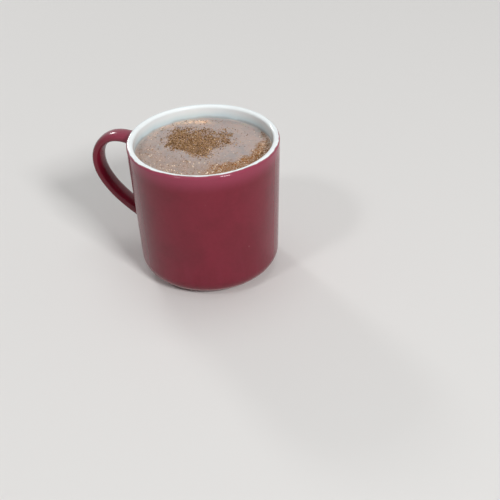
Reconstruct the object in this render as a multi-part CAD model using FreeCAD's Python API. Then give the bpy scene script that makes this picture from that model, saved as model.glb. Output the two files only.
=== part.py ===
"""A mug of chai latte: a glazed stoneware mug, the milk tea in it and the milk foam on top.

Frame: +Z up, the origin on the mug's axis in the plane of its foot ring, and the handle's loop in the
XZ plane on the -X side. Sizes are millimetres.
"""

import FreeCAD, Part

import math
import os

V = FreeCAD.Vector
Z_AXIS = V(0, 0, 1)

# ---- mug body -------------------------------------------------------------------------------------
RIM_RADIUS = 42.0  # outside, at the lip
TAPER = 2.8  # how much narrower the wall would be at the standing plane
MUG_HEIGHT = 80.4
WALL = 3.7  # radial thickness of the side wall
FLOOR = 5.4  # from the underside recess up to the inside floor
LIP_ROUND = 1.55  # radius on both edges of the lip
HEEL_ROUND = 9.0  # outside radius where the wall turns under
WELL_ROUND = 11.0  # inside radius where the wall meets the floor

# ---- foot ring ------------------------------------------------------------------------------------
FOOT_INSET = 10.7  # from the wall's line in to the outside of the ring the mug stands on
FOOT_WIDTH = 3.2
FOOT_HEIGHT = 1.6  # how far the ring stands below the body
FOOT_DRAFT = 0.5  # how much the ring narrows on its way down, on each side
FOOT_ROUND = 0.45
RECESS_DEPTH = 2.3  # from the standing plane up to the recessed underside
RECESS_ROUND = 1.2

# ---- handle ---------------------------------------------------------------------------------------
HANDLE_BELOW_RIM = 8.1  # from the rim down to where the centre line leaves the wall
HANDLE_BOTTOM = 23.0  # height where the centre line comes back
HANDLE_REACH = 28.5  # centre line, out from the rim radius at the widest place
HANDLE_WIDTH = 10.8  # across the loop's plane
HANDLE_THICKNESS = 5.4  # in the loop's plane
# the loop's control points: share of the way out from the wall, share of the way down between the roots
HANDLE_BEND = ((0.41, -0.07), (0.81, 0.05), (0.96, 0.34), (0.77, 0.64), (0.37, 0.87))
HANDLE_SINK = 2.2  # how deep each end runs into the wall
ROOT_SPREAD = 2.0  # how far the clay spreads on every side where the strap meets the wall
ROOT_LENGTH = 6.5  # distance from the wall over which that spread dies away
ROOT_POWER = 2.5  # how fast it dies away, more is a tighter corner
HANDLE_STATIONS = 33
SECTION_POINTS = 20
SECTION_POWER = 2.25  # 2 is an ellipse, more is squarer

# ---- drink ----------------------------------------------------------------------------------------
FOAM_BELOW_RIM = 8.0  # level of the foam at its flat part
FOAM_THICKNESS = 11.0
FOAM_CROWN = 0.9  # rise from the edge to the middle
FOAM_SWELLS = ((2, 0.35, 35.0), (3, 0.2, -60.0))  # lobes, height and turn in degrees of each soft swell
# soft mounds left by the pouring: place as shares of the foam's radius, height and width
FOAM_MOUNDS = ((-0.52, 0.66, 0.5, 7.0), (0.3, -0.35, 0.4, 9.0), (-0.35, -0.3, 0.35, 8.0))
FOAM_GRID = 21  # points each way that the foam's top is drawn through
MENISCUS = 1.6  # radius of the hollow where the foam climbs the wall
CLING = 0.4  # how far past the wall that hollow would end, which leaves the foam a real edge there


def outer_radius(z):
    """Outside radius of the straight, slightly tapered wall at height z."""
    return RIM_RADIUS - TAPER * (1 - z / MUG_HEIGHT)


def revolve(outline):
    """Solid of revolution about Z from (radius, height) corners."""
    corners = [V(r, 0, z) for r, z in outline]
    face = Part.Face(Part.makePolygon(corners + corners[:1]))
    return face.revolve(V(0, 0, 0), Z_AXIS, 360)


def ring_edges(solid, radius, z, near=0.05):
    """The circular edges of a solid of revolution at one radius and height."""
    found = []
    for edge in solid.Edges:
        circle = edge.Curve
        if not isinstance(circle, Part.Circle):
            continue
        if abs(circle.Radius - radius) < near and abs(circle.Center.z - z) < near:
            found.append(edge)
    return found


def body_blank():
    """The outside of the body, from the lip down to the underside above the foot ring."""
    blank = revolve(
        [
            (0, FOOT_HEIGHT),
            (outer_radius(FOOT_HEIGHT), FOOT_HEIGHT),
            (RIM_RADIUS, MUG_HEIGHT),
            (0, MUG_HEIGHT),
        ]
    )
    heel = ring_edges(blank, outer_radius(FOOT_HEIGHT), FOOT_HEIGHT)
    return blank.makeFillet(HEEL_ROUND, heel)


def foot_radius():
    """Outside radius of the foot ring."""
    return outer_radius(0) - FOOT_INSET


def foot_ring():
    """The ring under the body, overlapping it a little so that the two fuse."""
    outer = foot_radius()
    inner = outer - FOOT_WIDTH
    ring = revolve(
        [
            (inner + FOOT_DRAFT, 0),
            (outer - FOOT_DRAFT, 0),
            (outer, FOOT_HEIGHT + 1),
            (inner, FOOT_HEIGHT + 1),
        ]
    )
    edges = ring_edges(ring, inner + FOOT_DRAFT, 0) + ring_edges(ring, outer - FOOT_DRAFT, 0)
    return ring.makeFillet(FOOT_ROUND, edges)


def underside_recess():
    """The dished space inside the foot ring."""
    radius = foot_radius() - FOOT_WIDTH
    recess = Part.makeCylinder(radius, RECESS_DEPTH + 1, V(0, 0, -1))
    return recess.makeFillet(RECESS_ROUND, ring_edges(recess, radius, RECESS_DEPTH))


def inside_floor():
    return RECESS_DEPTH + FLOOR


def cavity(top=MUG_HEIGHT + 1):
    """The space inside the mug, up to the given height."""
    floor = inside_floor()
    bottom_radius = outer_radius(floor) - WALL
    space = revolve(
        [
            (0, floor),
            (bottom_radius, floor),
            (outer_radius(top) - WALL, top),
            (0, top),
        ]
    )
    return space.makeFillet(WELL_ROUND, ring_edges(space, bottom_radius, floor))


def handle_path():
    """Centre line of the handle as a smooth curve in the XZ plane, from the upper root to the lower."""
    top = MUG_HEIGHT - HANDLE_BELOW_RIM
    poles = []
    for out, down in ((0, 0), *HANDLE_BEND, (0, 1)):
        z = top - down * (top - HANDLE_BOTTOM)
        root = outer_radius(z) - HANDLE_SINK
        poles.append(V(-root - out * (RIM_RADIUS + HANDLE_REACH - root), 0, z))
    spans = len(poles) - 3
    knots = [i / spans for i in range(spans + 1)]
    multiplicities = [4] + [1] * (spans - 1) + [4]
    curve = Part.BSplineCurve()
    curve.buildFromPolesMultsKnots(poles, multiplicities, knots, False, 3)
    return curve


def strap_section(centre, along, width, thickness):
    """Closed, rounded outline of the strap, square to the centre line."""
    across = V(0, 1, 0)
    outward = across.cross(along)
    points = []
    for i in range(SECTION_POINTS):
        turn = 2 * math.pi * i / SECTION_POINTS
        c, s = math.cos(turn), math.sin(turn)
        u = math.copysign(abs(c) ** (2 / SECTION_POWER), c)
        v = math.copysign(abs(s) ** (2 / SECTION_POWER), s)
        points.append(centre + outward * (u * thickness / 2) + across * (v * width / 2))
    outline = Part.BSplineCurve()
    outline.interpolate(Points=points, Parameters=list(range(SECTION_POINTS + 1)), PeriodicFlag=True)
    return Part.Wire(outline.toShape())


def root_spread(from_wall):
    """How far the strap grows on every side at a distance from the wall, like a filled corner."""
    share = 1 - min(max(from_wall, 0), ROOT_LENGTH) / ROOT_LENGTH
    return ROOT_SPREAD * share**ROOT_POWER


def handle():
    """The strap handle, spreading where it is stuck to the body; its stations crowd towards the roots."""
    path = handle_path()
    length = path.length()
    sections = []
    for i in range(HANDLE_STATIONS):
        run = length * (1 - math.cos(math.pi * i / (HANDLE_STATIONS - 1))) / 2
        at = path.parameterAtDistance(run, path.FirstParameter)
        spread = 2 * root_spread(min(run, length - run) - HANDLE_SINK)
        along = V(*path.tangent(at)[0])
        sections.append(strap_section(path.value(at), along, HANDLE_WIDTH + spread, HANDLE_THICKNESS + spread))
    return Part.makeLoft(sections, True, False)


def mug():
    """The whole mug, one piece of fired clay."""
    solid = body_blank().fuse(foot_ring()).fuse(handle())
    solid = solid.cut(underside_recess()).cut(cavity()).removeSplitter()
    lip = ring_edges(solid, RIM_RADIUS, MUG_HEIGHT) + ring_edges(solid, RIM_RADIUS - WALL, MUG_HEIGHT)
    return solid.makeFillet(LIP_ROUND, lip)


def wall_inside(z):
    return outer_radius(z) - WALL


def foam_radius():
    """Radius of the foam where it meets the wall."""
    return wall_inside(MUG_HEIGHT - FOAM_BELOW_RIM)


def foam_level(x, y):
    """Height of the foam's top: a low crown, two soft swells round the mug and a few mounds."""
    share = math.hypot(x, y) / foam_radius()
    turn = math.atan2(y, x)
    level = MUG_HEIGHT - FOAM_BELOW_RIM + FOAM_CROWN * (1 - share**2)
    for lobes, height, start in FOAM_SWELLS:
        level += height * share**lobes * math.sin(lobes * turn + math.radians(start))
    for at_x, at_y, height, width in FOAM_MOUNDS:
        away = math.hypot(x - at_x * foam_radius(), y - at_y * foam_radius())
        level += height * math.exp(-((away / width) ** 2))
    return level


def above_foam():
    """Everything above the foam's uneven top, out past the wall."""
    span = [RIM_RADIUS * (2 * i / (FOAM_GRID - 1) - 1) for i in range(FOAM_GRID)]
    skin = Part.BSplineSurface()
    skin.interpolate([[V(x, y, foam_level(x, y)) for y in span] for x in span])
    return skin.toShape().extrude(V(0, 0, 2 * FOAM_BELOW_RIM))


def air():
    """The air over the drink, its lower edge rounded so that the foam climbs the wall."""
    low = foam_underside()
    top = MUG_HEIGHT
    column = revolve(
        [
            (0, low),
            (wall_inside(low) + CLING, low),
            (wall_inside(top) + CLING, top),
            (0, top),
        ]
    )
    space = column.common(above_foam())
    edges = [edge for edge in space.Edges if edge.BoundBox.ZMax < MUG_HEIGHT - FOAM_BELOW_RIM / 2]
    return space.makeFillet(MENISCUS, edges)


def filling():
    """The space that the drink fills: the cavity up to the foam's top."""
    return cavity(MUG_HEIGHT - FOAM_BELOW_RIM / 2).cut(air())


def slab(low, high):
    return Part.makeCylinder(2 * RIM_RADIUS, high - low, V(0, 0, low))


def milk_tea():
    """The tea and milk, from the inside floor up to the underside of the foam."""
    return filling().common(slab(0, foam_underside()))


def foam_underside():
    return MUG_HEIGHT - FOAM_BELOW_RIM - FOAM_THICKNESS


def milk_foam():
    """The head of foam, from wall to wall."""
    return filling().common(slab(foam_underside(), MUG_HEIGHT))


PARTS = {"mug": mug, "milk_tea": milk_tea, "milk_foam": milk_foam}


def main():
    os.makedirs("parts", exist_ok=True)
    for name, make in PARTS.items():
        shape = make()
        assert shape.isValid() and len(shape.Solids) == 1, name
        shape.exportStep(f"parts/{name}.step")
        print(f"{name}: {shape.Volume / 1000:.1f} cm3")


main()
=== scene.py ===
"""A mug of chai latte: red stoneware glazed white inside, and milk tea under foam dusted with cinnamon."""

import math

import bmesh
import bpy
import numpy as np
from mathutils import Matrix, Vector


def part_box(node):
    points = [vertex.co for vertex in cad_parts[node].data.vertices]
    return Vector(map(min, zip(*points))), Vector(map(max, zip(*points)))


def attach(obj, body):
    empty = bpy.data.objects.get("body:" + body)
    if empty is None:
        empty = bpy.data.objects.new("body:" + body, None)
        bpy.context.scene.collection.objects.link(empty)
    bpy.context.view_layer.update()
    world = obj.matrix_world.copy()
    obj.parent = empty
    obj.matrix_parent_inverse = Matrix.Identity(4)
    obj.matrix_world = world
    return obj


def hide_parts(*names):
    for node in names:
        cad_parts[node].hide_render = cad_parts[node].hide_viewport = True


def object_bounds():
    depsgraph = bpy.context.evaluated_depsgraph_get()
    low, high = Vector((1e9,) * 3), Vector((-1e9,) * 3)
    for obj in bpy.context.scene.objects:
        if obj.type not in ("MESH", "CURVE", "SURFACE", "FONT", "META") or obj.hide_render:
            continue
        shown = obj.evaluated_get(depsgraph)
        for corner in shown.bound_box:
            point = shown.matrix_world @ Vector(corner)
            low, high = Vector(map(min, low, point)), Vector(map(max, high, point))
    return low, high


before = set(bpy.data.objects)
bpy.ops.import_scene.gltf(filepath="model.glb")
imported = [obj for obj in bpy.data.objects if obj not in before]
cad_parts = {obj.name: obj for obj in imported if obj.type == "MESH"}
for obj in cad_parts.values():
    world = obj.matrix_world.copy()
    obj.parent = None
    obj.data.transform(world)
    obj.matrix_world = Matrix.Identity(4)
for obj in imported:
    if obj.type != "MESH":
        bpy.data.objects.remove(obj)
cad_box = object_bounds()

# ---- camera ---------------------------------------------------------------------------------------
# A long lens that looks down on the mug with the handle away to the left, tipped a little to one side.
EYE = Vector((0.2093, -0.4341, 0.3424))
AIM = Vector((0.0408, -0.0373, 0.04))
TILT = math.radians(-2.49)
LENS, FILM_WIDTH = 72, 36  # in millimetres
camera = bpy.data.objects.new("camera", bpy.data.cameras.new("camera"))
bpy.context.scene.collection.objects.link(camera)
camera.data.lens = LENS
camera.data.sensor_width = FILM_WIDTH
facing = (AIM - EYE).to_track_quat("-Z", "Y").to_matrix().to_4x4()
camera.matrix_world = Matrix.Translation(EYE) @ facing @ Matrix.Rotation(TILT, 4, "Z")
bpy.context.scene.camera = camera
bpy.context.scene.view_settings.view_transform = "Standard"

# ---- floor ----------------------------------------------------------------------------------------
# A plain pale sweep of matt board that the mug stands on.
FLOOR_SPAN = 3.0
FLOOR_COLOUR = (0.76, 0.75, 0.735, 1)
FLOOR_FADE = (0.5, 2.2)  # the floor passes into the room's own paleness between these distances
ROOM_SEEN = 0.72  # how pale the room looks


def feed(tree, node, inputs):
    """Fills a node's inputs, each with a plain value or with a socket to link from."""
    for name, value in inputs.items():
        if isinstance(value, bpy.types.NodeSocket):
            tree.links.new(value, node.inputs[name])
        else:
            node.inputs[name].default_value = value


def add(tree, kind, inputs=None, **settings):
    """A new node of a tree, with its inputs filled and its settings made."""
    made = tree.nodes.new("ShaderNode" + kind)
    for name, value in settings.items():
        setattr(made, name, value)
    feed(tree, made, inputs or {})
    return made


def material(name, **plain):
    """A new material, its node tree and its Principled BSDF, with that shader's plain values set."""
    made = bpy.data.materials.new(name)
    made.use_nodes = True
    bsdf = made.node_tree.nodes["Principled BSDF"]
    for socket, value in plain.items():
        bsdf.inputs[socket.replace("_", " ")].default_value = value
    return made, made.node_tree, bsdf


def piece(name, mesh, finish):
    """A finished object at the origin, smooth all over, from a bmesh or a mesh."""
    if isinstance(mesh, bmesh.types.BMesh):
        bm, mesh = mesh, bpy.data.meshes.new(name)
        bm.to_mesh(mesh)
        bm.free()
    mesh.shade_smooth()
    mesh.materials.append(finish)
    made = bpy.data.objects.new(name, mesh)
    bpy.context.scene.collection.objects.link(made)
    return made


def calc(tree, operation, *terms):
    """The output of a Math node."""
    return add(tree, "Math", dict(enumerate(terms)), operation=operation).outputs[0]


def ramp(tree, value, low, high, to_low=0.0, to_high=1.0):
    """A smooth step of a value from low to high."""
    spans = {"From Min": low, "From Max": high, "To Min": to_low, "To Max": to_high}
    return add(tree, "MapRange", {"Value": value, **spans}, interpolation_type="SMOOTHSTEP").outputs[0]


def seen_ray(tree):
    """1 for the rays that show the room itself: from the camera, off gloss and through film."""
    path = add(tree, "LightPath").outputs
    direct = calc(tree, "MAXIMUM", path["Is Camera Ray"], path["Is Glossy Ray"])
    return calc(tree, "MAXIMUM", direct, path["Is Transmission Ray"])


board, tree, bsdf = material("pale_board", Base_Color=FLOOR_COLOUR, Roughness=0.7)
away = add(tree, "VectorMath", {0: add(tree, "TexCoord").outputs["Object"]}, operation="LENGTH")
far = ramp(tree, away.outputs["Value"], *FLOOR_FADE)
glow = add(tree, "Emission", {"Color": (1, 1, 1, 1), "Strength": ROOM_SEEN})
share = calc(tree, "MULTIPLY", seen_ray(tree), far)
mixed = add(tree, "MixShader", {0: share, 1: bsdf.outputs[0], 2: glow.outputs[0]})
tree.links.new(mixed.outputs[0], tree.nodes["Material Output"].inputs["Surface"])
bm = bmesh.new()
bmesh.ops.create_grid(bm, x_segments=1, y_segments=1, size=FLOOR_SPAN)
floor = piece("floor", bm, board)

# ---- light ----------------------------------------------------------------------------------------
# A soft box at the front right, a wide weak one overhead, and two small ones that put glints on the
# glaze, from the front left and from behind the handle, in an even pale room.
LAMP_DISTANCE = 2.5
LAMPS = {
    "key": dict(azimuth=-34, elevation=38, size=0.50, energy=37.0),
    "overhead": dict(azimuth=100, elevation=80, size=1.5, energy=13.0),
    "glint": dict(azimuth=-114, elevation=50, size=0.30, energy=8.0),
    "edge": dict(azimuth=142, elevation=30, size=0.35, energy=10.0),
}
ROOM_LIGHT = 0.21  # how strongly the room lights the mug
for name, lamp in LAMPS.items():
    light = bpy.data.lights.new(name, "AREA")
    light.size = lamp["size"]
    light.energy = lamp["energy"]
    made = bpy.data.objects.new(name, light)
    bpy.context.scene.collection.objects.link(made)
    azimuth, elevation = math.radians(lamp["azimuth"]), math.radians(lamp["elevation"])
    flat = math.cos(elevation)
    way = Vector((flat * math.cos(azimuth), flat * math.sin(azimuth), math.sin(elevation)))
    made.location = LAMP_DISTANCE * way
    made.rotation_euler = (-way).to_track_quat("-Z", "Y").to_euler()

world = bpy.data.worlds.new("pale_room")
bpy.context.scene.world = world
world.use_nodes = True
tree = world.node_tree
level = add(tree, "MapRange", {"Value": seen_ray(tree), "To Min": ROOM_LIGHT, "To Max": ROOM_SEEN})
tree.nodes["Background"].inputs["Color"].default_value = (1, 1, 1, 1)
tree.links.new(level.outputs[0], tree.nodes["Background"].inputs["Strength"])

# ---- mug ------------------------------------------------------------------------------------------
# A cast stoneware mug with its handle stuck on. It is dipped in red glaze outside and poured white
# inside; the two meet on the lip, the foot ring is wiped bare, and milk has left a film over the foam,
# painted darker and bluer with the shade on the wall just over the foam.
MUG_TOP = cad_box[1][2]
RIM_RADIUS = cad_box[1][1]  # the widest place, just under the lip
TAPER = 0.0028  # how much narrower the wall is at the foot
WALL = 0.0037
FOAM_LINE = MUG_TOP - 0.008  # where the foam meets the wall
GLAZE_LINES = (0.0006, 0.0014)  # from the wall's outside to the white, and the same where dipped deeper
DIPPED = (0.39, -0.92, 0)  # the way that side faces
DIP_SPREAD = (0.55, 1.0)  # the cosines off that way at which the one line passes into the other
GLAZE_EDGE = 0.00022  # how sharply the red ends
GLAZE_WANDER = 0.0004  # how far that line and the wiped one stray
WELL_HEIGHT = 0.007  # the white starts above this, inside
HEEL_HEIGHT = 0.012  # below this the outside curves in under the mug
BARE_HEIGHTS = (0.0013, 0.0008)  # of the foot ring, where the glaze is whole and where it is wiped off
HEEL_POOL = (0.012, 0.002)  # the red is even above the first height and deepest below the second
RUN_HEIGHTS = (0.045, 0.006)  # the runs start at the first height and are fullest at the second
BREAK_DEPTHS = (0.0110, 0.0008)  # below the top, where the red starts to thin and where it is thinnest
ROOTS = ((-0.043, 0, 0.071), (-0.041, 0, 0.0235))  # where the handle is stuck on
ROOT_POOL = (0.013, 0.006)  # the glaze is even past the first distance and thickest within the second
RED = (0.191, 0.0102, 0.0268, 1)
RED_DEEP = (0.106, 0.0047, 0.0127, 1)
RED_THIN = (0.315, 0.0432, 0.0865, 1)
RED_BARE = (0.42, 0.20, 0.21, 1)  # at the very edge on the lip, and in pale flecks
BARE_REACH = 0.0005
WHITE = (0.905, 0.960, 0.975, 1)
WHITE_WARM = (0.905, 0.940, 0.945, 1)
# the bluish band over the foam: partly the milk's film, partly painted shade
MILK_FILM_AND_SHADE = (0.56, 0.72, 0.77, 1)
FILM_AND_SHADE_HEIGHT = 0.0072
RESIDUE_AND_SHADE = (0.43, 0.44, 0.44, 1)  # foam left on the wall right at its edge, painted darker grey as the shade where wall and foam meet
RESIDUE_AND_SHADE_HEIGHTS = (0.0026, 0.0006)  # over the foam line, where it ends and where it is full
TIDE = 0.0009  # how unevenly both reach up
CLAY = (0.50, 0.41, 0.31, 1)
CLAY_DARK = (0.30, 0.23, 0.17, 1)
GLAZE_ROUGHNESS = 0.085
GLAZE_RELIEF = 0.00022
CLAY_ROUGHNESS = 0.8


def blend(tree, share, first, second):
    """A colour between two, by a share from 0 to 1."""
    return add(tree, "Mix", {0: share, 6: first, 7: second}, data_type="RGBA").outputs[2]


def group(name, inputs, outputs):
    """An empty node group with named sockets: its tree, its input node and its output node."""
    made = bpy.data.node_groups.new(name, "ShaderNodeTree")
    for socket, kind in inputs.items():
        made.interface.new_socket(socket, in_out="INPUT", socket_type="NodeSocket" + kind)
    for socket, kind in outputs.items():
        made.interface.new_socket(socket, in_out="OUTPUT", socket_type="NodeSocket" + kind)
    return made, made.nodes.new("NodeGroupInput"), made.nodes.new("NodeGroupOutput")


def use(tree, effect, **values):
    """The outputs of a node group placed in a tree."""
    made = tree.nodes.new("ShaderNodeGroup")
    made.node_tree = effect
    feed(tree, made, values)
    return made.outputs


# cloudy: soft uneven patches about a size across, as a mask from 0 to 1
cloudy, ins, outs = group("cloudy", {"Place": "Vector", "Size": "Float", "Swirl": "Float"}, {"Mask": "Float"})
scale = calc(cloudy, "DIVIDE", 1.0, ins.outputs["Size"])
clouds = {"Vector": ins.outputs["Place"], "Scale": scale, "Distortion": ins.outputs["Swirl"], "Detail": 3.0}
patches = add(cloudy, "TexNoise", clouds)
cloudy.links.new(ramp(cloudy, patches.outputs["Fac"], 0.32, 0.68), outs.inputs["Mask"])

# flecks: small round spots at random, a share of the cells having one, as a mask from 0 to 1
spots = {"Place": "Vector", "Spacing": "Float", "Share": "Float", "Spot": "Float"}
flecks, ins, outs = group("flecks", spots, {"Mask": "Float"})
scale = calc(flecks, "DIVIDE", 1.0, ins.outputs["Spacing"])
cells = add(flecks, "TexVoronoi", {"Vector": ins.outputs["Place"], "Scale": scale})
lot = add(flecks, "SeparateColor", {"Color": cells.outputs["Color"]})
chosen = calc(flecks, "LESS_THAN", lot.outputs["Red"], ins.outputs["Share"])
radius = calc(flecks, "MULTIPLY", ins.outputs["Spot"], calc(flecks, "ADD", lot.outputs["Green"], 0.35))
inside = ramp(flecks, cells.outputs["Distance"], radius, 0.0)
flecks.links.new(calc(flecks, "MULTIPLY", chosen, inside), outs.inputs["Mask"])

glaze, tree, bsdf = material("glaze", IOR=1.42)
place = add(tree, "TexCoord").outputs["Object"]
xyz = add(tree, "SeparateXYZ", {0: place})
height = xyz.outputs["Z"]
flat = add(tree, "VectorMath", {0: place, 1: (1, 1, 0)}, operation="MULTIPLY").outputs[0]
radius = add(tree, "VectorMath", {0: flat}, operation="LENGTH").outputs["Value"]
wall_line = calc(tree, "MULTIPLY_ADD", height, TAPER / MUG_TOP, RIM_RADIUS - TAPER)
inward = calc(tree, "SUBTRACT", wall_line, radius)
facing_dip = add(tree, "VectorMath", {0: flat, 1: DIPPED}, operation="DOT_PRODUCT").outputs["Value"]
line = ramp(tree, calc(tree, "DIVIDE", facing_dip, radius), *DIP_SPREAD, *GLAZE_LINES)
inward = calc(tree, "SUBTRACT", inward, line)

# the red: cloudy, deep where it pools and thin under the lip, with faint runs and dark and pale flecks
clouds = use(tree, cloudy, Place=place, Size=0.02, Swirl=0.4)["Mask"]
grain = use(tree, cloudy, Place=place, Size=0.0022, Swirl=0.0)["Mask"]
tall = add(tree, "Mapping", {"Vector": place, "Scale": (1, 1, 0.12)}).outputs[0]
runs = use(tree, cloudy, Place=tall, Size=0.010, Swirl=0.8)["Mask"]
low_down = ramp(tree, height, *RUN_HEIGHTS)
uneven = calc(tree, "ADD", calc(tree, "MULTIPLY", clouds, 0.30), calc(tree, "MULTIPLY", grain, 0.12))
red = blend(tree, uneven, RED, RED_DEEP)
red = blend(tree, calc(tree, "MULTIPLY", calc(tree, "MULTIPLY", runs, low_down), 0.10), red, RED_THIN)
for root in ROOTS:
    away = add(tree, "VectorMath", {0: place, 1: root}, operation="DISTANCE").outputs["Value"]
    red = blend(tree, ramp(tree, away, *ROOT_POOL, 0.0, 0.6), red, RED_DEEP)
red = blend(tree, ramp(tree, height, *HEEL_POOL, 0.0, 0.5), red, RED_DEEP)
thin = ramp(tree, height, MUG_TOP - BREAK_DEPTHS[0], MUG_TOP - BREAK_DEPTHS[1])
red = blend(tree, calc(tree, "MULTIPLY", thin, 0.85), red, RED_THIN)
red = blend(tree, ramp(tree, inward, -BARE_REACH, 0.0, 0.0, 0.5), red, RED_BARE)
dark = use(tree, flecks, Place=place, Spacing=0.0032, Share=0.10, Spot=0.09)["Mask"]
long = add(tree, "Mapping", {"Vector": place, "Scale": (1, 1, 0.35)}).outputs[0]
pale = use(tree, flecks, Place=long, Spacing=0.0042, Share=0.09, Spot=0.075)["Mask"]
red = blend(tree, calc(tree, "MULTIPLY", dark, 0.6), red, RED_DEEP)
red = blend(tree, calc(tree, "MULTIPLY", pale, 0.5), red, RED_BARE)

# the white: a little warmer in patches; just over the foam a bluish band, partly the milk's film and
# partly painted shade, and at the foam's edge painted grey shade over the foam left on the wall
white = blend(tree, calc(tree, "MULTIPLY", clouds, 0.4), WHITE, WHITE_WARM)
tide = use(tree, cloudy, Place=place, Size=0.014, Swirl=0.3)["Mask"]
tide = calc(tree, "MULTIPLY_ADD", tide, TIDE, height)
# painted shade: the wall turns darker and bluer down towards the foam, taken also as the milk's film
film = ramp(tree, tide, FOAM_LINE + FILM_AND_SHADE_HEIGHT, FOAM_LINE, 0.0, 0.9)
white = blend(tree, film, white, MILK_FILM_AND_SHADE)
# painted shade: a grey band right where the wall meets the foam, also the foam left there
residue_and_shade = ramp(tree, tide, FOAM_LINE + RESIDUE_AND_SHADE_HEIGHTS[0], FOAM_LINE + RESIDUE_AND_SHADE_HEIGHTS[1], 0.0, 0.85)
white = blend(tree, residue_and_shade, white, RESIDUE_AND_SHADE)

# the bare foot: sandy clay with grog in it
clay = blend(tree, use(tree, cloudy, Place=place, Size=0.0012, Swirl=0.0)["Mask"], CLAY, CLAY_DARK)

# where each one lies: the white past the line on the lip and in the well, the clay round the foot
wander = use(tree, cloudy, Place=place, Size=0.009, Swirl=0.3)["Mask"]
edge = calc(tree, "MULTIPLY_ADD", wander, GLAZE_WANDER, inward)
past_line = ramp(tree, edge, 0.0, 2 * GLAZE_EDGE)
over_heel = calc(tree, "GREATER_THAN", height, HEEL_HEIGHT)
deep_in = calc(tree, "MAXIMUM", over_heel, calc(tree, "GREATER_THAN", inward, WALL / 2))
in_well = calc(tree, "MULTIPLY", deep_in, calc(tree, "GREATER_THAN", height, WELL_HEIGHT))
is_white = calc(tree, "MULTIPLY", past_line, in_well)
wiped = calc(tree, "MULTIPLY_ADD", wander, GLAZE_WANDER, height)
is_bare = ramp(tree, wiped, *BARE_HEIGHTS)
colour = blend(tree, is_bare, blend(tree, is_white, red, white), clay)
tree.links.new(colour, bsdf.inputs["Base Color"])
gloss = calc(tree, "MULTIPLY_ADD", grain, 0.05, GLAZE_ROUGHNESS)
gloss = calc(tree, "MULTIPLY_ADD", film, 0.12, gloss)
rough = add(tree, "Mix", {0: is_bare, 2: gloss, 3: CLAY_ROUGHNESS}, data_type="FLOAT").outputs[0]
tree.links.new(rough, bsdf.inputs["Roughness"])

# thick glaze swells and dimples a little, sinks at the flecks and stands higher where it is white
swell = add(tree, "TexNoise", {"Vector": place, "Scale": 42.0, "Detail": 1.0}).outputs["Fac"]
peel = add(tree, "TexNoise", {"Vector": place, "Scale": 620.0, "Detail": 1.0}).outputs["Fac"]
relief = calc(tree, "MULTIPLY_ADD", peel, 0.035, swell)
relief = calc(tree, "MULTIPLY_ADD", dark, -0.03, relief)
relief = calc(tree, "MULTIPLY_ADD", is_white, 0.12, relief)
bump = add(tree, "Bump", {"Height": relief, "Strength": 1.0, "Distance": GLAZE_RELIEF})
tree.links.new(bump.outputs[0], bsdf.inputs["Normal"])
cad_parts["mug"].material_slots[0].material = glaze

# ---- milk tea -------------------------------------------------------------------------------------
# Black tea and spices with steamed milk, poured in below the foam: fawn, with paler milk still
# turning in it.
TEA = (0.42, 0.255, 0.15, 1)
TEA_MILKY = (0.53, 0.375, 0.26, 1)
tea_stuff, tree, bsdf = material("milk_tea", Roughness=0.12, IOR=1.34)
place = add(tree, "TexCoord").outputs["Object"]
swirl = use(tree, cloudy, Place=place, Size=0.016, Swirl=2.5)["Mask"]
tree.links.new(blend(tree, swirl, TEA, TEA_MILKY), bsdf.inputs["Base Color"])
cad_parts["milk_tea"].material_slots[0].material = tea_stuff

# ---- milk foam ------------------------------------------------------------------------------------
# Steamed milk foam, poured last: a low uneven crown with soft folds and burst bubbles that clings to
# the wall. It has drifted to the back, so tea shows brown through the froth at the front.
FOAM_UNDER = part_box("milk_foam")[0].z
FOAM_RADIUS = RIM_RADIUS - WALL - TAPER * (1 - FOAM_LINE / MUG_TOP)  # at the foam line
INTO_WALL = 0.00028  # how far it is let into the wall, so that no gap shows
RINGS = 176
STEPS = 520
MM = 0.001  # the foam's relief is worked out in millimetres from here on
CROWN = 0.9  # rise of the middle over the edge
CALM = (4.0, 0.4)  # from the wall, where the relief starts to die away and where it has gone
CLIMB = 0.45  # height to which the foam clings to the wall
CLIMB_WIDTH = 1.3
FOLD_RISE, SWELL_RISE, LUMP_RISE, FROTH_RISE, EDGE_RISE = 0.16, 0.28, 0.07, 0.13, 0.25
# soft mounds and folds: x, y, length, width, turn in degrees, height
MOUNDS = (
    (-19.5, 27.5, 8.0, 2.6, 24, 0.95),
    (-29.0, 19.5, 6.0, 2.2, 55, 0.50),
    (-8.0, 30.0, 9.0, 3.5, 8, 0.30),
    (11.0, -13.0, 9.0, 9.0, 0, 0.35),
    (-13.0, -11.0, 9.0, 6.0, 20, 0.35),
    (16.0, 18.0, 10.0, 6.0, -35, 0.25),
)
# painted warm highlights where the foam's folds face the lamps: x, y, length, width, turn, how strong
FOLD_GLINTS = (
    (-20.0, 28.0, 7.0, 2.6, 24, 1.9),
    (-13.0, 30.0, 6.0, 2.0, 10, 1.1),
    (-31.0, 20.0, 6.0, 2.6, 52, 0.9),
    (-34.0, 9.0, 2.0, 6.0, 0, 0.4),
    (29.5, 13.5, 1.6, 9.0, 8, 1.5),
    (25.5, -3.5, 1.2, 6.0, -35, 1.0),
)
BURST_COUNT = 170
BURST_RADII = (0.35, 1.5)
BURST_REACH = 36.5  # from the middle
BURST_DEPTH = 0.2  # share of its radius
rng = np.random.default_rng(41)


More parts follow.
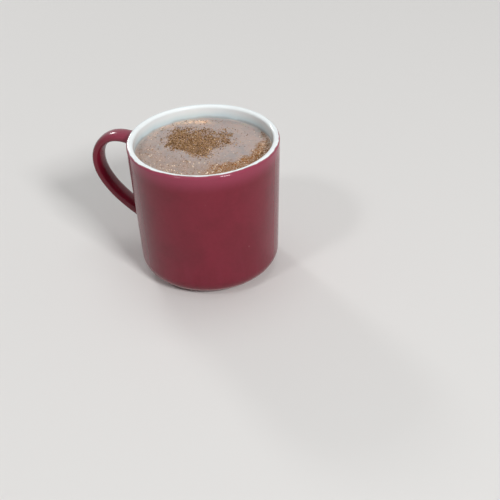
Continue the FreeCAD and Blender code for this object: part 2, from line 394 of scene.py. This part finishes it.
def lumps(x, y, size, seed):
    """Smooth noise from about -1 to 1 over places in millimetres, about a size across."""
    at = np.stack([x, y]) / size
    corner = np.floor(at)
    part = at - corner
    ease = part**3 * (part * (part * 6 - 15) + 10)
    total = 0
    for i, j in ((0, 0), (0, 1), (1, 0), (1, 1)):
        turn = 43758.5453 * np.sin((corner[0] + i) * 127.1 + (corner[1] + j) * 311.7 + seed * 74.7)
        turn = 2 * np.pi * (turn - np.floor(turn))
        slope = np.cos(turn) * (part[0] - i) + np.sin(turn) * (part[1] - j)
        total = total + slope * np.abs(1 - i - ease[0]) * np.abs(1 - j - ease[1])
    return 1.6 * total


def ellipse(x, y, at_x, at_y, length, width, turn):
    """A soft hill of height 1 with an elliptic outline, over places in millimetres."""
    c, s = math.cos(math.radians(turn)), math.sin(math.radians(turn))
    along = ((x - at_x) * c + (y - at_y) * s) / length
    across = ((y - at_y) * c - (x - at_x) * s) / width
    return np.exp(-(along**2 + across**2))


def smooth(value, low, high):
    """A smooth step from 0 at low to 1 at high."""
    share = np.clip((value - low) / (high - low), 0, 1)
    return share * share * (3 - 2 * share)


# how far the pale foam reaches: a disc that has drifted towards the back
PALE_CENTRE = (-5.0, 14.0)
PALE_RADIUS = 30.0
TEA_FADE = 3.4
TEA_END = (45.0, 55.0)  # the froth thickens again between these distances
TEA_RIGHT = (6, 21)  # tea shows from the first distance to the front right, and fully past the second
TEA_BACK = (6, 20)  # and shows half as much at the back right
THIN = 0.34  # all the foam at the near side is this thin, past these distances out and forward
THIN_OUT = (20, 35)
THIN_NEAR = (4, -14)


def tea_share(x, y):
    """How far the tea shows through the froth, from 0 to 1."""
    ragged = 2.6 * lumps(x, y, 6.0, 3.1) + 1.4 * lumps(x, y, 2.2, 5.7)
    away = np.hypot(x - PALE_CENTRE[0], y - PALE_CENTRE[1]) + ragged
    band = smooth(away, PALE_RADIUS, PALE_RADIUS + TEA_FADE) * (1 - 0.4 * smooth(away, *TEA_END))
    band = band * smooth(x - 0.2 * y, *TEA_RIGHT) * (1 - 0.5 * smooth(y, *TEA_BACK))
    return np.maximum(band, THIN * smooth(away, *THIN_OUT) * smooth(y, *THIN_NEAR))


burst_turn = rng.uniform(0, 2 * np.pi, BURST_COUNT)
burst_away = BURST_REACH * np.sqrt(rng.uniform(0, 1, BURST_COUNT))
burst_x, burst_y = burst_away * np.cos(burst_turn), burst_away * np.sin(burst_turn)
burst_size = BURST_RADII[0] + (BURST_RADII[1] - BURST_RADII[0]) * rng.uniform(0, 1, BURST_COUNT) ** 3


def foam_top(x, y):
    """Height in millimetres of the foam's top at places in millimetres."""
    away = np.hypot(x, y)
    edge = FOAM_RADIUS / MM
    level = FOAM_LINE / MM + CROWN * (1 - (away / edge) ** 2)
    for at_x, at_y, length, width, turn, rise in MOUNDS:
        level += rise * ellipse(x, y, at_x, at_y, length, width, turn)
    drift_x, drift_y = 3.0 * lumps(x, y, 11, 1.3), 3.0 * lumps(x, y, 11, 8.9)
    folds = 1 - np.abs(lumps(x + drift_x, y + drift_y, 7.5, 2.2)) * 2
    level += FOLD_RISE * folds + SWELL_RISE * lumps(x, y, 15, 0.4) + LUMP_RISE * lumps(x, y, 1.6, 6.6)
    level += FROTH_RISE * lumps(x, y, 0.8, 4.4) * tea_share(x, y)
    for at_x, at_y, size in zip(burst_x, burst_y, burst_size):
        far = np.hypot(x - at_x, y - at_y) / size
        near = far < 2
        lip, pit = 0.35 * np.exp(-(((far[near] - 1) / 0.3) ** 2)), np.exp(-(far[near] ** 2) * 2)
        level[near] += BURST_DEPTH * size * (lip - pit)
    fade = smooth(away, edge - CALM[0], edge - CALM[1])
    level = level * (1 - fade) + fade * (FOAM_LINE / MM + EDGE_RISE * lumps(x, y, 9, 7.7))
    turn = np.arctan2(y, x)
    ragged = 1 + 0.55 * lumps(6 * np.cos(turn), 6 * np.sin(turn), 1.0, 0.7)
    return level + CLIMB * ragged * np.clip(1 - (edge - away) / CLIMB_WIDTH, 0, 1.2) ** 2


# the cinnamon, shaken on in one go: x, y, length, width, turn, and how thick it lies
DUSTING = (
    (-10.0, 6.5, 16.0, 7.0, -36, 0.95),
    (-5.0, 3.0, 9.5, 7.5, 0, 0.65),
    (-20.0, 11.0, 6.0, 10.5, 12, 0.60),
    (-9.0, 17.5, 6.5, 10.0, 18, 0.55),
    (2.5, 16.5, 7.5, 10.5, -12, 0.62),
    (9.5, 10.5, 7.5, 6.0, 0, 0.48),
    (-18.0, 0.0, 10.5, 6.0, -25, 0.60),
    (-1.5, -5.0, 7.5, 4.5, 0, 0.50),
)
STRAY = 0.012  # how thick it lies everywhere else


def dusting(x, y):
    """How thick the cinnamon lies, from 0 to 1."""
    thick = sum(share * ellipse(x, y, *at, turn) for *at, turn, share in DUSTING)
    ragged = 0.34 * lumps(x, y, 4.6, 9.3) + 0.48 * lumps(x, y, 1.2, 2.9)
    return smooth(thick + ragged * smooth(thick, 0.03, 0.5), 0.08, 1.15)


bm = bmesh.new()
reach = FOAM_RADIUS + INTO_WALL
ends = [bm.verts.new((0, 0, FOAM_LINE)), bm.verts.new((reach, 0, FOAM_LINE))]
bmesh.ops.subdivide_edges(bm, edges=[bm.edges.new(ends)], cuts=RINGS - 1)
about = dict(cent=(0, 0, 0), axis=(0, 0, 1), angle=math.pi / 4, steps=STEPS // 8)
bmesh.ops.spin(bm, geom=bm.verts[:] + bm.edges[:], **about)
for turn in (math.pi / 4, math.pi / 2, math.pi):
    copy = bmesh.ops.duplicate(bm, geom=bm.verts[:] + bm.edges[:] + bm.faces[:])["geom"]
    moved = [v for v in copy if isinstance(v, bmesh.types.BMVert)]
    bmesh.ops.rotate(bm, verts=moved, cent=(0, 0, 0), matrix=Matrix.Rotation(turn, 3, "Z"))
bmesh.ops.remove_doubles(bm, verts=bm.verts, dist=1e-6)
rim = [e for e in bm.edges if e.is_boundary]
skirt = bmesh.ops.extrude_edge_only(bm, edges=rim)["geom"]
base = [v for v in skirt if isinstance(v, bmesh.types.BMVert)]
under_radius = reach - TAPER * (FOAM_LINE - FOAM_UNDER) / MUG_TOP
for v in base:
    v.co = (v.co.x * under_radius / reach, v.co.y * under_radius / reach, FOAM_UNDER)
bmesh.ops.holes_fill(bm, edges=[e for e in bm.edges if e.is_boundary], sides=STEPS)
bmesh.ops.recalc_face_normals(bm, faces=bm.faces)
tops = [v for v in bm.verts if v.co.z > FOAM_LINE - 1e-6]
x = np.array([v.co.x for v in tops]) / MM
y = np.array([v.co.y for v in tops]) / MM
for v, z in zip(tops, foam_top(x, y)):
    v.co.z = z * MM
# painted warm highlights on the folds, carried to the foam's material as an attribute
folds = sum(share * ellipse(x, y, *at, turn) for *at, turn, share in FOLD_GLINTS)
for name, amounts in (("cinnamon", dusting(x, y)), ("tea", tea_share(x, y)), ("fold_glint", folds)):
    layer = bm.verts.layers.float.new(name)
    tops = [v for v in bm.verts if v.co.z > FOAM_UNDER + 1e-4]  # listed again, as a new layer moves them
    for v, amount in zip(tops, amounts):
        v[layer] = amount

FOAM = (0.435, 0.356, 0.325, 1)
FOAM_GREY = (0.327, 0.305, 0.305, 1)
FOAM_PINK = (0.538, 0.386, 0.334, 1)
PORE = (0.263, 0.190, 0.157, 1)
FOAM_GLINT = (0.890, 0.609, 0.419, 1)  # painted warm highlight on the folds
FOAM_EDGE = (0.515, 0.482, 0.459, 1)  # paler against the white wall
EDGE_WIDTH = 0.0022
FROTH_TEA = (0.285, 0.130, 0.036, 1)
DUST = (0.347, 0.170, 0.0560, 1)
FOAM_RELIEF = 0.00012
foam_stuff, tree, bsdf = material("milk_foam", IOR=1.36, Subsurface_Weight=0.12, Subsurface_Scale=0.0015)
place = add(tree, "TexCoord").outputs["Object"]
broad = use(tree, cloudy, Place=place, Size=0.013, Swirl=1.2)["Mask"]
streaky = use(tree, cloudy, Place=place, Size=0.004, Swirl=1.8)["Mask"]
fine = use(tree, cloudy, Place=place, Size=0.0009, Swirl=0.0)["Mask"]

# the foam itself: cloudy and streaked, set with bright tiny bubbles and dark pores
colour = blend(tree, calc(tree, "MULTIPLY", broad, 0.85), FOAM, FOAM_GREY)
colour = blend(tree, calc(tree, "MULTIPLY", streaky, 0.45), colour, FOAM_PINK)
bright = use(tree, flecks, Place=place, Spacing=0.0011, Share=0.3, Spot=0.3)["Mask"]
colour = blend(tree, calc(tree, "MULTIPLY", bright, 0.45), colour, FOAM_PINK)
pores = use(tree, flecks, Place=place, Spacing=0.0015, Share=0.25, Spot=0.27)["Mask"]
colour = blend(tree, calc(tree, "MULTIPLY", pores, 0.5), colour, PORE)

# what lies under and over it: a painted warm highlight on the folds, the thin edge and tea through the froth
fold_glint = add(tree, "Attribute", attribute_name="fold_glint").outputs["Fac"]
fold_glint = calc(tree, "MULTIPLY", fold_glint, calc(tree, "MULTIPLY_ADD", streaky, 0.6, 0.3))
colour = blend(tree, fold_glint, colour, FOAM_GLINT)
flat = add(tree, "VectorMath", {0: place, 1: (1, 1, 0)}, operation="MULTIPLY").outputs[0]
out = add(tree, "VectorMath", {0: flat}, operation="LENGTH").outputs["Value"]
colour = blend(tree, ramp(tree, out, FOAM_RADIUS - EDGE_WIDTH, FOAM_RADIUS, 0.0, 0.45), colour, FOAM_EDGE)
tea = add(tree, "Attribute", attribute_name="tea").outputs["Fac"]
tea = calc(tree, "MULTIPLY", tea, calc(tree, "MULTIPLY_ADD", fine, -0.40, 1.0))
colour = blend(tree, tea, colour, FROTH_TEA)

# the finest cinnamon, in specks where it is thin and soaked in all over where it is thick
powder = add(tree, "Attribute", attribute_name="cinnamon").outputs["Fac"]
specks = add(tree, "TexNoise", {"Vector": place, "Scale": 1500.0, "Detail": 1.0}).outputs["Fac"]
laid = calc(tree, "MULTIPLY_ADD", specks, 2.4, calc(tree, "MULTIPLY_ADD", powder, 1.3, -1.5))
laid = calc(tree, "MULTIPLY", ramp(tree, laid, 0.0, 0.7), calc(tree, "MULTIPLY_ADD", powder, 0.30, 0.5))
laid = calc(tree, "MULTIPLY", laid, ramp(tree, powder, 0.0, 0.15))
laid = calc(tree, "MAXIMUM", laid, calc(tree, "MULTIPLY", powder, 0.34))
colour = blend(tree, laid, colour, DUST)
tree.links.new(colour, bsdf.inputs["Base Color"])
rough = calc(tree, "MULTIPLY_ADD", streaky, 0.12, 0.34)
tree.links.new(calc(tree, "MULTIPLY_ADD", laid, 0.3, rough), bsdf.inputs["Roughness"])

# bubbles too small to stand up, in two sizes
small = add(tree, "TexVoronoi", {"Vector": place, "Scale": 1500.0}).outputs["Distance"]
smaller = add(tree, "TexVoronoi", {"Vector": place, "Scale": 4200.0}).outputs["Distance"]
relief = calc(tree, "MULTIPLY_ADD", smaller, -0.4, calc(tree, "MULTIPLY", small, -1.0))
bump = add(tree, "Bump", {"Height": relief, "Strength": 0.55, "Distance": FOAM_RELIEF})
tree.links.new(bump.outputs[0], bsdf.inputs["Normal"])

foam = piece("foam_head", bm, foam_stuff)
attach(foam, "root")
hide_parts("milk_foam")

# ---- froth bubbles --------------------------------------------------------------------------------
# Bubbles that still stand on the foam: thick along the wall at the front and where tea shows, in
# small clusters elsewhere. Each is a thin wet skin, seen as a glossy dome sunk in the foam.
FINE_FROTH = (5200, 0.10, 0.21)  # how many, and the least and greatest radius in millimetres
FROTH = (2400, 0.20, 0.50)
LARGE = (95, 0.50, 1.05)
BUBBLE_STRETCH = 0.08
DOME_CUT = 0.05  # where a dome ends, above the middle of its ball
BUBBLE_SINK = 0.35  # share of its radius that a bubble's centre lies under the foam
WALL_SIDE = (34.5, 37.5)  # bubbles line the wall from the first distance, and most past the second
# clusters: x, y, length, width, turn, how crowded
CLUSTERS = (
    (-4.0, -14.5, 3.0, 1.8, 10, 1.0),
    (-2.0, -17.5, 2.2, 1.4, 0, 0.8),
    (-9.0, -25.5, 6.0, 1.8, -15, 0.9),
    (-29.0, -8.0, 2.5, 2.0, 30, 0.7),
    (-33.0, 5.0, 2.0, 3.5, 0, 0.6),
    (-20.5, 28.0, 6.5, 1.7, 24, 0.9),
    (28.5, 2.0, 1.6, 7.0, -8, 1.0),
    (30.5, 16.0, 1.5, 8.0, 8, 1.0),
    (33.0, 3.0, 1.6, 9.0, -4, 0.8),
    (12.0, -26.0, 7.0, 2.0, 22, 0.7),
    (-8.0, -29.5, 7.0, 1.5, 22, 1.0),
    (9.0, -7.0, 4.0, 2.5, 0, 0.35),
    (-10.0, 7.0, 15.0, 8.0, -36, 0.30),
)


def scattered(count, likely, margin):
    """Random places on the foam in millimetres, crowded by a likelihood from 0 to 1."""
    kept = np.empty((0, 2))
    limit = FOAM_RADIUS / MM - margin
    while len(kept) < count:
        tries = rng.uniform(-limit, limit, (4 * count, 2))
        tries = tries[np.hypot(tries[:, 0], tries[:, 1]) < limit]
        lucky = rng.uniform(0, 1, len(tries)) < likely(tries[:, 0], tries[:, 1])
        kept = np.vstack([kept, tries[lucky]])
    return kept[:count]


def strewn(name, shape, places, sizes, finish, sink, stretch, jitter=0.0):
    """One joined mesh of a small shape repeated at places on the foam, each with its own tone.

    Sink is the share of its size that each lies under the foam, stretch how far its length, width
    and height differ, and jitter how rough its outline is."""
    points = np.array([v.co for v in shape.verts])
    faces = np.array([[v.index for v in f.verts] for f in shape.faces])
    shape.free()
    count = len(places)
    centres = np.column_stack([places, foam_top(places[:, 0], places[:, 1]) - sink * sizes])
    grown = sizes[:, None] * (1 + stretch * rng.uniform(-1, 1, (count, 3)))
    turns = rng.uniform(0, 2 * np.pi, count)
    local = points[None] * (1 + jitter * rng.uniform(-1, 1, (count, len(points), 1)))
    local = local * grown[:, None, :]
    c, s = np.cos(turns)[:, None], np.sin(turns)[:, None]
    x, y, z = np.moveaxis(local, 2, 0)
    turned = np.stack([x * c - y * s, x * s + y * c, z], 2)
    corners = ((centres[:, None] + turned) * MM).reshape(-1, 3)
    joined = (faces[None] + len(points) * np.arange(count)[:, None, None]).reshape(-1, faces.shape[1])
    mesh = bpy.data.meshes.new(name)
    mesh.from_pydata(corners.tolist(), [], joined.tolist())
    shares = {"tone": rng.uniform(0, 1, count), "tea": tea_share(places[:, 0], places[:, 1])}
    for label, amounts in shares.items():
        layer = mesh.attributes.new(label, "FLOAT", "POINT")
        layer.data.foreach_set("value", np.repeat(amounts, len(points)).astype(np.float32))
    return piece(name, mesh, finish)


def crowded(x, y):
    """How crowded the bubbles are, from 0 to 1."""
    crowd = sum(share * ellipse(x, y, *at, turn) for *at, turn, share in CLUSTERS)
    wall_side = smooth(np.hypot(x, y), *WALL_SIDE) * (0.08 + 0.75 * smooth(0.42 * x - y, -5, 25))
    return np.clip(0.03 + crowd + 0.8 * tea_share(x, y) ** 1.25 + wall_side, 0, 1)


def ball(detail):
    """A round shape of radius 1."""
    shape = bmesh.new()
    bmesh.ops.create_icosphere(shape, subdivisions=detail, radius=1)
    shape.verts.index_update()
    return shape


def dome(detail):
    """The part of a ball that can stand out of the foam, closed below."""
    shape = ball(detail)
    everything = shape.verts[:] + shape.edges[:] + shape.faces[:]
    cut = dict(plane_co=(0, 0, DOME_CUT), plane_no=(0, 0, 1), clear_inner=True)
    bmesh.ops.bisect_plane(shape, geom=everything, **cut)
    bmesh.ops.holes_fill(shape, edges=[e for e in shape.edges if e.is_boundary])
    bmesh.ops.triangulate(shape, faces=shape.faces[:])
    shape.verts.index_update()
    return shape


def bubbles(name, amount, shape, finish, margin):
    """One joined piece of bubbles of like size."""
    count, least, most = amount
    places = scattered(count, crowded, margin)
    sizes = least + (most - least) * rng.uniform(0, 1, count) ** 2
    made = strewn(name, shape, places, sizes, finish, BUBBLE_SINK, BUBBLE_STRETCH)
    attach(made, "root")


SKIN = (0.515, 0.403, 0.347, 1)
SKIN_DIM = (0.302, 0.224, 0.185, 1)
SKIN_TEA = (0.440, 0.208, 0.064, 1)
SKIN_TEA_DIM = (0.172, 0.066, 0.014, 1)
SKIN_GLINT = (0.912, 0.731, 0.562, 1)  # painted glint on about one in six, for the bubbles' sparkle
FILM_CLEAR = (0.95, 0.86, 0.76, 1)
FILM_TINTED = (0.86, 0.70, 0.55, 1)
skin, tree, bsdf = material("bubble_skin", Roughness=0.16, IOR=1.4, Coat_Weight=0.4, Coat_Roughness=0.03)
tone = add(tree, "Attribute", attribute_name="tone").outputs["Fac"]
place = add(tree, "TexCoord").outputs["Object"]
where = use(tree, cloudy, Place=place, Size=0.003, Swirl=0.5)["Mask"]
tea = add(tree, "Attribute", attribute_name="tea").outputs["Fac"]
share = calc(tree, "MULTIPLY_ADD", where, 0.35, calc(tree, "MULTIPLY", tone, 0.75))
over_milk, over_tea = blend(tree, share, SKIN, SKIN_DIM), blend(tree, share, SKIN_TEA, SKIN_TEA_DIM)
colour = blend(tree, ramp(tree, tea, 0.1, 0.7), over_milk, over_tea)
# about one bubble in six is painted pale as a glint
colour = blend(tree, ramp(tree, tone, 0.20, 0.13), colour, SKIN_GLINT)
tree.links.new(colour, bsdf.inputs["Base Color"])
bubbles("fine_froth", FINE_FROTH, ball(1), skin, margin=0.1)
bubbles("froth_bubbles", FROTH, dome(2), skin, margin=0.2)

film_stuff, tree, bsdf = material("bubble_film", Roughness=0.04, IOR=1.16, Transmission_Weight=1.0)
tone = add(tree, "Attribute", attribute_name="tone").outputs["Fac"]
tree.links.new(blend(tree, tone, FILM_CLEAR, FILM_TINTED), bsdf.inputs["Base Color"])
bubbles("large_bubbles", LARGE, ball(3), film_stuff, margin=1.0)

# ---- cinnamon -------------------------------------------------------------------------------------
# Ground cinnamon shaken on at the end: coarse flat grains from pale bark to dark, loose on the foam,
# with the finest powder soaked in as the foam's own stain.
GRAIN_COUNT = 8200
GRAIN_RADII = (0.06, 0.31)
GRAIN_SINK = -0.25  # share of its radius, so a grain's centre lies above the foam
GRAIN_STRETCH = 0.45
GRAIN_JITTER = 0.25
BARK = (0.241, 0.125, 0.0470, 1)
BARK_DARK = (0.0560, 0.0235, 0.0090, 1)
BARK_PALE = (0.672, 0.426, 0.207, 1)
bark, tree, bsdf = material("cinnamon", Roughness=0.9, Specular_IOR_Level=0.2)
tone = add(tree, "Attribute", attribute_name="tone").outputs["Fac"]
place = add(tree, "TexCoord").outputs["Object"]
mottled = use(tree, cloudy, Place=place, Size=0.0004, Swirl=0.0)["Mask"]
colour = blend(tree, ramp(tree, tone, 0.60, 0.95), BARK, BARK_PALE)
colour = blend(tree, ramp(tree, tone, 0.45, 0.0), colour, BARK_DARK)
colour = blend(tree, calc(tree, "MULTIPLY", mottled, 0.3), colour, BARK_DARK)
tree.links.new(colour, bsdf.inputs["Base Color"])
places = scattered(GRAIN_COUNT, lambda x, y: np.clip(STRAY + dusting(x, y), 0, 1), margin=1.5)
sizes = GRAIN_RADII[0] + (GRAIN_RADII[1] - GRAIN_RADII[0]) * rng.uniform(0, 1, GRAIN_COUNT) ** 2.2
grains = strewn("cinnamon_grains", ball(1), places, sizes, bark, GRAIN_SINK, GRAIN_STRETCH, GRAIN_JITTER)
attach(grains, "root")
